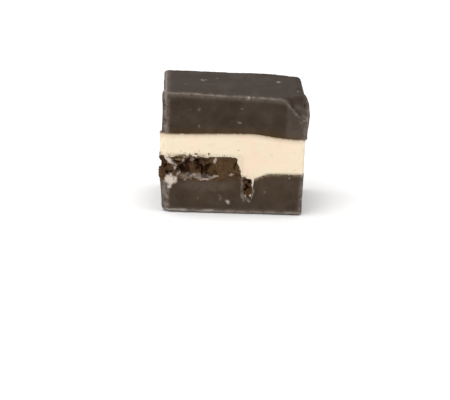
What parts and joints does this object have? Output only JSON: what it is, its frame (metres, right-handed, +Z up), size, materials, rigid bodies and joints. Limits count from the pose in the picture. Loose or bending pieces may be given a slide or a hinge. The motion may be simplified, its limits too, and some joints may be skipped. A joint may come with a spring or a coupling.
{
  "type": "cookies and cream fudge",
  "caption": "Knife-cut block of layered fudge: dark chocolate fudge above and below vanilla cream fudge, with broken chocolate cookie along the lower seam.",
  "frame": {"origin": "centre of the footprint, on the surface that the fudge stands on", "axes": "+Z up, -Y out of the front face with the cut cookie, +X to the right seen from the front"},
  "size_m": [0.0307, 0.03, 0.0253],
  "materials": {
    "dark_fudge": "satin, with pale bloom on the cut edges",
    "cream_fudge": "soft and slightly waxy",
    "cookie": "dry, rough crumb"
  },
  "bodies": {
    "root": {"lid": "dark_fudge", "cream": "cream_fudge", "base": "dark_fudge", "cookie_front": "cookie", "cookie_split": "cookie", "cookie_right": "cookie", "cookie_back": "cookie"}
  },
  "joints": []
}
